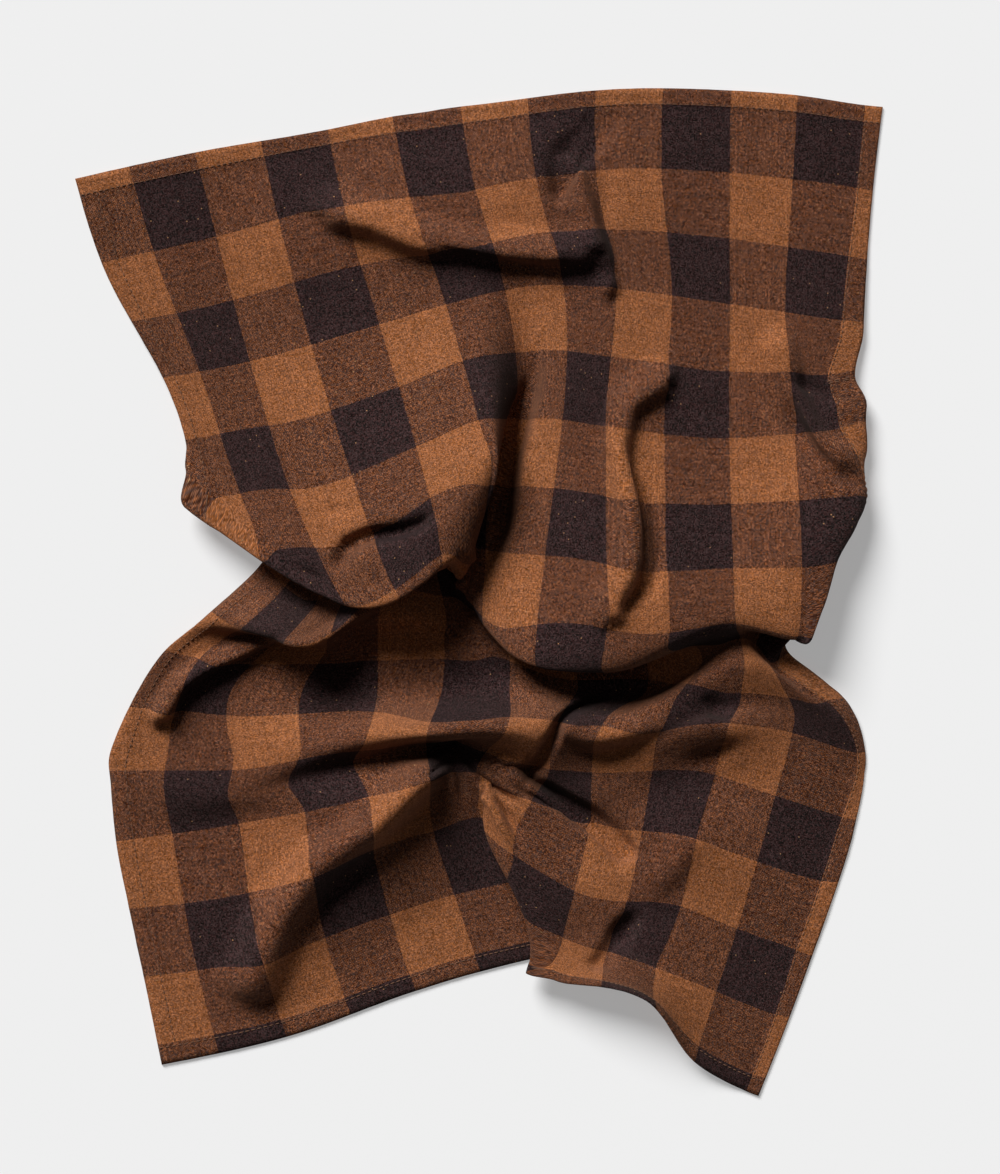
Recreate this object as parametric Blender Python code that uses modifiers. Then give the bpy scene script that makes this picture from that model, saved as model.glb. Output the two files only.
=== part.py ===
"""A checked tea towel, thrown down and bunched at the waist, as one thin hemmed sheet.

The cloth is a flat rectangle of checks. drape() takes a point of that flat cloth to where it lies:
SECTIONS carries the outline, the bunched waist and the deep tucks, and FOLDS adds the lesser ridges
and hollows. Plan positions and heights in both tables are millimetres; x runs right, y up the towel.
"""
import bpy
import numpy as np

MM = 0.001

# The cloth as it was cut and hemmed.
CHECK_ACROSS = 41.4          # mm, one stripe of the warp
CHECK_DOWN = 42.3            # mm, one stripe of the weft
CHECKS_ACROSS = 12.08        # the left hem cuts the first stripe short, the right hem the last
CHECKS_DOWN = 16.55
WHOLE_ACROSS = 11            # stripes that no hem cuts short
WHOLE_DOWN = 16
FIRST_ACROSS = 0.80          # of a check, what the left hem leaves of the first stripe
FIRST_DOWN = 0.25            # of a check, what the top hem leaves of the first stripe
CLOTH_THICKNESS = 1.5        # mm
SETTLE = 1.0                 # mm, how far the low parts are let down until they lie flat
CLOTH_COLOUR = (0.130, 0.062, 0.035, 1.0)    # between the dark and the tan checks
CLOTH_ROUGHNESS = 0.92

# How finely the sheet is divided.
STEP_LENGTH = 14.0           # mm of cloth to one step, at most
LEAST_STEPS = 3              # between two sections, so that the tucks turn smoothly
MOST_STEPS = 6

# One row a section across the towel, from the top hem to the bottom hem. The stations of a section
# stand on the same twelve lines: left hem, warps 2, 4 and 5, the lip of the pleat, its key, its
# shoulder, warps 8, 10 and 11, the right fold, and the right hem.
# A station is (warp line, weft line, x, y, z): 0 is the left or top hem, 13 the right hem and 18 the
# bottom hem, and a line between two stripes has a whole number.
SECTIONS = (
    ("top hem",
     ((0, 0, -247, 253, 0), (2, 0, -174, 269, 0), (4, 0, -93, 283, 0), (5, 0, -53, 291, 0),
      (5.5, 0, -32, 294, 0), (5.8, 0, -20, 296, 0), (6.4, 0, 5, 299, 0), (8, 0, 71, 307, 0),
      (10, 0, 154, 307, 0), (11, 0, 195, 304, 0), (12, 0, 236, 298, 0), (13, 0, 247, 297, 0))),
    ("above the ridge",
     ((0, 2, -231, 202, 0), (2, 2, -161, 218, 1), (4, 2, -83, 237, 9), (5, 2, -42, 241, 11),
      (5.5, 2, -22, 243, 11), (5.8, 2, -10, 244, 11), (6.4, 2, 13, 249, 11), (8, 2, 71, 258, 7),
      (10, 2, 153, 257, 3), (11, 2, 192, 253, 2), (12, 2, 231, 248, 1), (13, 2, 241, 246, 1))),
    ("below the ridge",
     ((0, 4, -193, 131, 4), (2, 4, -140, 141, 5), (4, 4, -61, 163, 11), (5, 4, -20, 175, 14),
      (5.6, 4, 2, 181, 13), (6.1, 4, 19, 185, 10), (6.6, 4, 38, 187, 12), (8, 4, 83, 185, 11),
      (10, 4, 153, 176, 6), (11, 4, 187, 171, 7), (12, 4, 221, 166, 6), (13, 4, 235, 165, 4))),
    ("chest",
     ((0, 5, -179, 93, 10), (2, 6, -115, 63, 20), (4, 6, -38, 88, 32), (5, 6, 0, 104, 40),
      (5.4, 6, 12, 105, 38), (6.1, 6, 23, 106, 7), (6.6, 6, 40, 106, 20), (8, 6, 77, 101, 25),
      (10, 6, 152, 94, 16), (11, 6, 192, 97, 13), (12, 6, 218, 100, 15), (13, 6, 235, 105, 11))),
    ("brow",
     ((0, 5.5, -178, 74, 15), (2, 7.55, -90, 9, 36), (4, 7.8, -24, 32, 51), (5, 7, 6, 65, 46),
      (5.2, 7.1, 7, 60, 38), (5.65, 7.3, -2, 56, 9), (6.4, 8.2, 17, 16, 20), (8, 8.9, 77, -18, 42),
      (10, 8.5, 154, -4, 36), (11, 8, 195, 15, 33), (11.85, 7.5, 227, 39, 20), (13, 7.3, 215, 44, 8))),
    ("lip",
     ((0, 5.95, -173, 52, 16), (2, 8.1, -81, -7, 37), (4, 8.4, -25, 11, 43), (4.6, 8.35, -11, 9, 24),
      (5.2, 8.5, -10, 19, 16), (5.6, 8.9, -7, -2, 14), (6.4, 9.45, 15, -33, 28),
      (8, 9.98, 76, -48, 34), (10, 9.1, 155, -20, 34), (11, 9.1, 192, -28, 30),
      (11.35, 9.1, 201, -18, 26), (13, 8.5, 198, 12, 8))),
    ("tuck",
     ((0, 7.4, -119, 71, 9), (2, 8.6, -94, 12, 11), (4, 9.3, -48, 29, 9), (4.9, 9.3, -27, 16, 7),
      (5.3, 9.6, -18, 6, 5), (5.7, 9.8, -3, -9, 5), (6.5, 10.15, 26, -11, 8), (8, 10.6, 98, -34, 8),
      (10, 9.55, 157, -24, 25), (11, 9.65, 179, -19, 13), (11.5, 9.6, 189, -27, 17),
      (13, 9.3, 187, -16, 6))),
    ("out of tuck",
     ((0, 9, -132, 18, 4), (2, 9.15, -101, -10, 16), (4, 10.3, -61, -12, 18), (5, 10.4, -20, -16, 5),
      (5.5, 10.5, -4, -20, 5), (5.8, 10.6, 8, -26, 5), (6.6, 10.95, 43, -49, 7),
      (8, 11.2, 101, -62, 5), (10, 10.05, 159, -29, 18), (11, 10.1, 169, -35, 12),
      (12, 10.15, 182, -46, 8), (13, 10, 189, -37, 5))),
    ("roll",
     ((0, 10, -162, -12, 13), (2, 9.9, -117, -28, 35), (4, 10.65, -62, -26, 5),
      (5, 10.65, -21, -29, 4), (5.5, 10.9, -2, -36, 4), (5.8, 11, 11, -39, 5),
      (6.6, 11.3, 42, -60, 14), (8, 11.6, 85, -71, 14), (10, 10.55, 161, -44, 23),
      (11, 10.6, 179, -48, 20), (12, 10.6, 195, -56, 13), (13, 10.5, 203, -49, 6))),
    ("below the roll",
     ((0, 10.5, -178, -24, 11), (2, 10.45, -122, -28, 4), (4, 11.05, -62, -43, 3),
      (5, 11.05, -21, -42, 3), (5.55, 11.1, 1, -45, 4), (5.85, 11.25, 13, -49, 5),
      (6.6, 11.5, 41, -64, 18), (8, 11.85, 78, -76, 21), (10, 10.8, 160, -53, 20),
      (11, 10.85, 185, -58, 17), (12, 10.85, 205, -63, 12), (13, 10.75, 213, -57, 5))),
    ("foot of the roll",
     ((0, 11, -191, -35, 10), (2, 11.2, -145, -50, 5), (4, 11.4, -62, -56, 2), (5, 11.4, -22, -56, 3),
      (5.6, 11.4, 3, -56, 6), (5.9, 11.5, 15, -60, 10), (6.6, 11.7, 39, -69, 25),
      (8, 12.1, 72, -85, 29), (10, 11.1, 159, -64, 15), (11, 11.1, 190, -67, 13),
      (12, 11.1, 214, -69, 11), (13, 11, 222, -65, 4))),
    ("second lip",
     ((0, 12.6, -224, -94, 2), (2, 12.9, -150, -105, 11), (4, 12.65, -68, -88, 28),
      (5, 12.25, -31, -85, 37), (5.6, 12.2, -5, -83, 39), (5.9, 12.3, 12, -83, 37),
      (6.6, 12.4, 35, -87, 34), (8, 12.65, 69, -100, 12), (10, 12.1, 151, -82, 22),
      (11, 12.15, 190, -90, 9), (12, 12.2, 231, -105, 3), (13, 12.2, 236, -105, 1))),
    ("second tuck",
     ((0, 13.2, -225, -117, 1), (2, 13.5, -153, -124, 11), (4, 13.4, -77, -104, 10),
      (5, 13.2, -32, -93, 9), (5.6, 13.1, -10, -95, 8), (5.9, 13.1, -1, -97, 11),
      (6.5, 13.1, 26, -106, 14), (8, 13.4, 68, -121, 12), (10, 13, 144, -111, 5),
      (11, 13.1, 180, -128, 6), (12, 13.2, 219, -145, 1), (13, 13.2, 229, -147, 0))),
    ("lap start",
     ((0, 14, -222, -152, 0), (2, 14, -147, -141, 4), (4, 14, -67, -124, 20), (5, 14, -31, -112, 19),
      (5.7, 14, -10, -109, 15), (6, 14, -1, -111, 15), (6.4, 14, 11, -118, 17), (8, 14, 68, -140, 8),
      (10, 14, 132, -150, 11), (11, 14, 170, -164, 6), (12, 14, 209, -176, 1), (13, 14, 220, -177, 0))),
    ("lap",
     ((0, 15, -214, -193, 0), (2, 15, -141, -183, 4), (4, 15, -65, -155, 14), (5, 15, -28, -145, 8),
      (6, 15, 1, -137, 4), (6.3, 15, 19, -143, 5), (6.4, 15, 4, -144, 14), (8, 15, 58, -181, 15),
      (10, 15, 123, -191, 8), (11, 15, 158, -205, 4), (12, 15, 194, -218, 1), (13, 15, 204, -222, 0))),
    ("lower lap",
     ((0, 16, -205, -235, 0), (2, 16, -133, -224, 3), (4, 16, -55, -197, 3), (5, 16, -15, -185, 1),
      (6, 16, 20, -177, 1), (6.65, 16, 45, -171, 5), (7.3, 16, 29, -191, 12), (8, 16, 51, -210, 13),
      (10, 16, 108, -228, 17), (11, 16, 145, -244, 5), (12, 16, 181, -258, 1), (13, 16, 190, -260, 0))),
    ("bottom hem",
     ((0, 18, -194, -289, 0), (2, 18, -118, -272, 0), (4, 18, -39, -244, 0), (5, 18, 1, -232, 0),
      (6, 18, 38, -223, 0), (6.9, 18, 74, -216, 3), (7.8, 18, 37, -228, 11), (8.2, 18, 47, -236, 20),
      (10, 18, 106, -251, 30), (11, 18, 131, -286, 10), (12, 18, 163, -305, 1),
      (13, 18, 171, -308, 0))),
)

# One row a fold: name, its run over the cloth in (warp line, weft line), height (a hollow is
# negative), reach to the left of the run and to the right of it, and how far its crest leans.
FOLDS = (
    ("top ridge", ((3.9, 2.15), (4.4, 2.35), (4.9, 2.75), (6.0, 3.2), (6.8, 3.45), (7.4, 3.4)),
     14.0, 26.0, 16.0, (1.0, -3.0)),
    ("collar", ((8.1, 1.3), (7.5, 1.7), (7.35, 2.3)), -8.0, 13.0, 13.0, (0.0, 0.0)),
    ("collar ridge", ((7.6, 1.9), (7.7, 2.7), (7.85, 3.9)), 9.0, 13.0, 16.0, (2.0, 0.0)),
    ("right ridge", ((8.9, 5.3), (8.4, 5.65), (8.25, 6.3), (8.4, 7.2), (8.35, 8.0), (8.1, 8.7)),
     11.0, 9.0, 20.0, (1.5, -1.0)),
    ("edge ridge", ((10.9, 4.6), (11.1, 5.4), (11.7, 6.4)), 9.0, 17.0, 18.0, (0.0, 0.0)),
    ("hem pull", ((12.9, 5.15), (13.0, 5.15)), -1.0, 45.0, 26.0, (-7.0, 0.0)),
    ("edge bulge", ((12.1, 6.5), (12.4, 7.0)), 0.0, 28.0, 28.0, (7.0, 0.0)),
    ("edge tuck", ((11.7, 8.1), (11.6, 8.7)), 0.0, 30.0, 30.0, (-6.0, 0.0)),
    ("chest hollow", ((2.3, 7.3), (2.6, 7.05), (3.1, 7.05), (3.8, 7.3)), -7.0, 9.0, 10.0, (0.0, 0.0)),
    ("broad ridge", ((4.9, 13.9), (4.0, 14.6), (3.1, 14.9), (2.4, 15.4), (1.8, 16.2)),
     18.0, 26.0, 25.0, (2.0, -2.0)),
    ("knot hollow", ((6.4, 13.3), (7.1, 13.5), (8.0, 13.9), (8.7, 14.3)), -12.0, 12.0, 12.0, (0.0, 0.0)),
    ("hem hollow", ((9.2, 15.4), (8.9, 16.4)), -8.0, 16.0, 16.0, (0.0, 0.0)),
    ("waist roll", ((0.8, 12.0), (1.0, 11.5), (1.25, 11.1), (1.6, 10.75), (2.1, 10.1), (3.2, 10.05),
      (3.8, 10.1)),
     13.0, 16.0, 10.0, (1.0, -3.0)),
    ("ridge gap", ((7.3, 11.3), (7.05, 12.0), (6.8, 12.7), (6.6, 13.2)), -11.0, 13.0, 9.0, (0.0, 0.0)),
)


def clear_scene():
    for obj in list(bpy.data.objects):
        bpy.data.objects.remove(obj, do_unlink=True)


def across(line):
    """Distance over the flat cloth, mm, of a warp line from the left hem."""
    checks = (0.0, FIRST_ACROSS, FIRST_ACROSS + WHOLE_ACROSS, CHECKS_ACROSS)
    return np.interp(line, (0, 1, WHOLE_ACROSS + 1, WHOLE_ACROSS + 2), np.array(checks) * CHECK_ACROSS)


def down(line):
    """Distance over the flat cloth, mm, of a weft line from the top hem."""
    checks = (0.0, FIRST_DOWN, FIRST_DOWN + WHOLE_DOWN, CHECKS_DOWN)
    return np.interp(line, (0, 1, WHOLE_DOWN + 1, WHOLE_DOWN + 2), np.array(checks) * CHECK_DOWN)


def stations():
    """SECTIONS as an array [section, column, (flat across, flat down, x, y, z)]."""
    net = np.array([row for _, row in SECTIONS], dtype=float)
    net[..., 0] = across(net[..., 0])
    net[..., 1] = down(net[..., 1])
    return net


def tangents(points, knots):
    """Slopes at the knots, each from the parabola through three neighbours."""
    gaps = np.diff(knots)[:, None]
    chords = np.diff(points, axis=0) / gaps
    slopes = np.empty_like(points)
    slopes[1:-1] = (chords[:-1] * gaps[1:] + chords[1:] * gaps[:-1]) / (gaps[:-1] + gaps[1:])
    slopes[0] = 1.5 * chords[0] - 0.5 * slopes[1]
    slopes[-1] = 1.5 * chords[-1] - 0.5 * slopes[-2]
    return slopes, chords


def never_back(slopes, chords):
    """The slopes held in, so that the flat cloth is never counted backwards."""
    held = slopes.copy()
    for k, chord in enumerate(chords):
        for end in (k, k + 1):
            steepest = 3.0 * abs(chord)
            held[end] = np.where(held[end] * chord < 0.0, 0.0, np.clip(held[end], -steepest, steepest))
    return held


def through(points, knots, where):
    """A smooth curve through the points along the first axis, read at the given places."""
    flat = points.reshape(len(points), -1)
    slopes, chords = tangents(flat, knots)
    is_flat_cloth = np.tile(np.arange(points.shape[-1]) < 2, flat.shape[1] // points.shape[-1])
    slopes = np.where(is_flat_cloth, never_back(slopes, chords), slopes)
    k = np.clip(np.searchsorted(knots, where, side="right") - 1, 0, len(knots) - 2)
    gap = (knots[k + 1] - knots[k])[:, None]
    s = (where - knots[k])[:, None] / gap
    curve = ((2 * s**3 - 3 * s**2 + 1) * flat[k] + (s**3 - 2 * s**2 + s) * gap * slopes[k]
             + (3 * s**2 - 2 * s**3) * flat[k + 1] + (s**3 - s**2) * gap * slopes[k + 1])
    return curve.reshape((len(where),) + points.shape[1:])


def steps_between(knots):
    """Places along the knots, more of them in a long gap and never too few in a short one."""
    places = [knots[:1]]
    for start, end in zip(knots[:-1], knots[1:]):
        count = int(np.clip(round((end - start) / STEP_LENGTH), LEAST_STEPS, MOST_STEPS))
        places.append(start + (end - start) * np.arange(1, count + 1) / count)
    return np.concatenate(places)


def fold_profile(u, v, run, left_reach, right_reach):
    """1 on the run of a fold, falling smoothly to 0 at its reach on either side."""
    line = np.array([(across(warp), down(weft)) for warp, weft in run])
    nearest = np.full(u.shape, np.inf)
    side = np.zeros(u.shape)
    for (ax, ay), (bx, by) in zip(line[:-1], line[1:]):
        dx, dy = bx - ax, by - ay
        along = np.clip(((u - ax) * dx + (v - ay) * dy) / (dx * dx + dy * dy), 0.0, 1.0)
        off_u, off_v = u - ax - along * dx, v - ay - along * dy
        distance = np.hypot(off_u, off_v)
        closer = distance < nearest
        nearest = np.where(closer, distance, nearest)
        side = np.where(closer, dx * off_v - dy * off_u, side)
    reach = np.where(side > 0.0, right_reach, left_reach)
    return np.cos(0.5 * np.pi * np.clip(nearest / reach, 0.0, 1.0)) ** 2


def drape():
    """The sheet's underside, [row, column, (x, y, z)] in mm."""
    net = stations()
    columns = net[..., 0].mean(axis=0)
    rows = net[..., 1].mean(axis=1)
    sheet = through(net, rows, steps_between(rows))
    sheet = through(sheet.transpose(1, 0, 2), columns, steps_between(columns)).transpose(1, 0, 2)
    u, v, place = sheet[..., 0], sheet[..., 1], sheet[..., 2:].copy()
    for _, run, height, left_reach, right_reach, lean in FOLDS:
        lift = fold_profile(u, v, run, left_reach, right_reach)
        place[..., 0] += lean[0] * lift
        place[..., 1] += lean[1] * lift
        place[..., 2] += height * lift
    place[..., 2] = np.maximum(place[..., 2] - SETTLE, 0.0)
    return place


def centred(place):
    """The place moved so that the middle of the lying sheet is over the origin."""
    middle = 0.5 * (place.min(axis=(0, 1)) + place.max(axis=(0, 1)))
    return place - (middle[0], middle[1], 0.0)


def checked_cloth():
    material = bpy.data.materials.new("checked_cloth")
    material.use_nodes = True
    shader = material.node_tree.nodes["Principled BSDF"]
    shader.inputs["Base Color"].default_value = CLOTH_COLOUR
    shader.inputs["Roughness"].default_value = CLOTH_ROUGHNESS
    shader.inputs["Metallic"].default_value = 0.0
    material.diffuse_color = CLOTH_COLOUR
    return material


def make_towel(collection):
    """One panel: a flat grid laid into its folds, then given its thickness upwards."""
    place = centred(drape()) * MM
    rows, columns = place.shape[:2]
    bpy.ops.mesh.primitive_grid_add(x_subdivisions=columns - 1, y_subdivisions=rows - 1, size=1.0)
    towel = bpy.context.active_object
    towel.name = "towel"
    towel.data.name = "towel"
    for vertex in towel.data.vertices:
        column = round((vertex.co.x + 0.5) * (columns - 1))
        row = round((0.5 - vertex.co.y) * (rows - 1))
        vertex.co = place[row, column]
    thickness = towel.modifiers.new("cloth thickness", "SOLIDIFY")
    thickness.thickness = CLOTH_THICKNESS * MM
    thickness.offset = 1.0
    thickness.use_quality_normals = True
    bpy.ops.object.modifier_apply(modifier=thickness.name)
    bpy.ops.object.shade_smooth()
    towel.data.materials.append(checked_cloth())
    for holder in list(towel.users_collection):
        holder.objects.unlink(towel)
    collection.objects.link(towel)
    return towel


def main():
    clear_scene()
    collection = bpy.data.collections.new("tea_towel")
    bpy.context.scene.collection.children.link(collection)
    make_towel(collection)


main()
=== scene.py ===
"""The checked tea towel dressed for its picture: woven cloth, sewn hems, floor, light and camera."""

import bpy
import numpy as np
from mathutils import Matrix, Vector, noise


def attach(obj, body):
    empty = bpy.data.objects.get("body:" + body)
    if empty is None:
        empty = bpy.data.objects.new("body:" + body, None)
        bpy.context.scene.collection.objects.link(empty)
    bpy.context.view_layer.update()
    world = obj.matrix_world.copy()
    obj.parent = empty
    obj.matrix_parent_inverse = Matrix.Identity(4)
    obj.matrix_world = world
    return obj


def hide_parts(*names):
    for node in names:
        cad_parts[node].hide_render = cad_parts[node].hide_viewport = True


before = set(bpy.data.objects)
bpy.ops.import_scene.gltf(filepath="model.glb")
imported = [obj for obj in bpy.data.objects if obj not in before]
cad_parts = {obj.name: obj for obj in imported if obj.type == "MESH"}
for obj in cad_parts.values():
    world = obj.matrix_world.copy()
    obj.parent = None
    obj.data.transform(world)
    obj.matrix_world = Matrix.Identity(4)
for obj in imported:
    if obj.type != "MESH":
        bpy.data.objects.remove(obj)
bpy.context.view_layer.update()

MM = 0.001

# The cloth as it was cut and hemmed, as in the part.
CHECK_ACROSS = 41.4          # mm, one stripe of the warp
CHECK_DOWN = 42.3            # mm, one stripe of the weft
CHECKS_ACROSS = 12.08        # the left hem cuts the first stripe short, the right hem the last
CHECKS_DOWN = 16.55
WHOLE_ACROSS = 11            # stripes that no hem cuts short
WHOLE_DOWN = 16
FIRST_ACROSS = 0.80          # of a check, what the left hem leaves of the first stripe
FIRST_DOWN = 0.25            # of a check, what the top hem leaves of the first stripe
SETTLE = 1.0                 # mm, how far the low parts are let down until they lie flat
FLAT_WIDTH = CHECKS_ACROSS * CHECK_ACROSS
FLAT_LENGTH = CHECKS_DOWN * CHECK_DOWN

# The woven sheet.
WEAVE_THICKNESS = 0.7        # mm, one layer of cloth
HEM_EXTRA = 0.8              # mm, what the two turned layers add
HEM_WIDTH = 11.6             # mm
HEM_STEP = 2.4               # mm of cloth over which the hem's edge rises
THREAD = 0.72                # mm from thread to thread

# How unevenly the cloth lies between its creases: height and width, mm, and a seed.
RUMPLES = ((0.5, 60.0, 3.1), (0.3, 24.0, 8.4))
HEM_PUCKER = (0.35, 7.0, 5.2)

# How a crease runs out.
END_FADE = 0.8               # less is blunter
END_LEAST = 0.04             # of its run, from where the fade is counted
CHECK_FADE = 0.2             # of a check, at the lines that a crease stays between

# The hem's seam.
SEAM_INSET = 10.4            # mm from the edge of the cloth
STITCH_LENGTH = 2.7          # mm
STITCH_PITCH = 3.7           # mm
STITCH_RADIUS = 0.32         # mm
STITCH_SIDES = 6
STITCH_START = 0.15          # of the pitch, before the first stitch
STITCH_RINGS = ((0.0, 0.35, -0.15), (0.2, 0.85, 0.15), (0.5, 1.0, 0.25), (0.8, 0.85, 0.15),
                (1.0, 0.35, -0.15))          # share of the length, share of the radius, lift in mm
BAR_TACK_AT = (12.95, 5.15)  # warp line and weft line, where the hem is tacked twice across
BAR_TACK_LENGTH = 12.0       # mm
BAR_TACK_GAP = 1.5           # mm

# How finely the sheet is divided: mm of cloth to a step, between two sections and between two lines.
SECTION_STEPS = (3.7, 3.7, 3.7, 2.7, 2.6, 2.6, 2.6, 2.4, 1.9, 2.0, 1.8, 1.6, 1.7, 3.0, 3.7, 3.7)
LINE_STEPS = (3.7, 3.7, 2.8, 1.9, 1.8, 1.8, 1.8, 3.4, 3.7, 3.7, 2.5)

# The yarns' colours.
CAMEL_WARP = (0.283, 0.103, 0.039)
CAMEL_WEFT = (0.265, 0.095, 0.036)
DARK_WARP = (0.0165, 0.0078, 0.0078)
DARK_WEFT = (0.0188, 0.0088, 0.0087)
SEWING_THREAD = (0.150, 0.068, 0.034)
FLECK = (0.32, 0.17, 0.08)
EVEN_TINT = (0.84, 0.87, 1.03)               # over the mean of two yarns
MINGLED_TINT = (0.82, 0.82, 0.95)            # over a crossing of the two colours
MINGLING = 0.42                              # how far such a crossing goes over into the mean
BLACK_POINT = (0.001, 0.001, 0.001)

# How even the yarns are.
YARN_WANDER = 1.1            # mm, how far a yarn leaves its straight line
WANDER_SCALE = 60.0          # bends to a metre
YARN_STEP = 0.37             # how much the shade changes from one yarn to the next
YARN_SCALE = 90.0            # changes of shade to a metre of yarn
YARN_SPREAD = 0.35           # one yarn's own share of its shade
YARN_RANGE = (0.35, 1.0)
YARN_SHADES = (0.72, 1.30)
NOISE_RANGE = (0.3, 0.7)     # where soft noise mostly lies
CLOUD_SCALE = 22.0
CLOUD_SHADES = (0.93, 1.07)
GRAIN_SCALE = 1000.0
GRAIN_SHADES = (0.72, 1.28)
CROSSING_SHADES = (0.60, 1.40)
DARK_CROSSING_SHADES = (0.20, 2.90)
FIBRE_DEPTH = 0.036          # how much grey the loose fibres add or take
DARK_FIBRE_DEPTH = 0.018
SLIPPED_SHARE = 0.18         # of the crossings, where the wrong yarn shows
FLECK_SHARE = 0.001
STEEP = (0.30, 0.72)         # the upward part of the normal, all even and all yarns
SLIP_SEED, CROSSING_SEED, FLECK_SEED, FIBRE_SEED = 7.0, 1.0, 4.0, 12.0
WARP_SEED, WEFT_SEED, SWAY_SEED, WEFT_SHADE_SEED = 3.0, 9.0, 0.7, 5.0

# How deep the weave is.
ARCH = 0.45                  # of a yarn's height, lost where it dips under the next
CROSSING_LIFT = 0.35
FUZZ_LIFT = 0.5
FUZZ_SCALE = 800.0
WEAVE_HEIGHTS = (0.3, 1.5)
# painted shade in the weave's dips and painted highlight on its tops, from low to high
WEAVE_PAINTED_SHADE = (0.66, 1.28)
WEAVE_ROUGHNESS = (0.95, 0.80)
BUMP_STRENGTH = 0.8
BUMP_DEPTH = 0.25            # mm
CLOTH_GLOSS = 0.10
SHEEN = 0.05
SHEEN_ROUGHNESS = 0.6
SHEEN_TINT = (0.9, 0.72, 0.55, 1.0)
THREAD_ROUGHNESS = 0.8

# The studio.
FLOOR_REACH = 6.0            # m
FLOOR_DROP = 0.2             # mm under the cloth
FLOOR_COLOUR = (0.58, 0.58, 0.58)
FLOOR_ROUGHNESS = 0.9
# painted light: the floor glows, standing in for light sent back by the studio
FLOOR_GLOW = 0.31            # the light that a wide pale studio would send back to it
WHITE = (1.0, 1.0, 1.0, 1.0)
ROOM_LIGHT = 0.07
WINDOW_LIGHT = 4.5
WINDOW_SPREAD = 0.5          # radians
WINDOW_FROM = (-0.50, 0.92, 0.80)            # x, y, z
CAMERA_HEIGHT = 2.4          # m
CAMERA_OVER = (0.0129, 0.0031)               # m, the middle of the picture on the table
PICTURE_HEIGHT = 0.7185      # m of table from the top of the picture to its foot
SENSOR_SIZE = 36.0           # mm, along the picture's height

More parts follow.
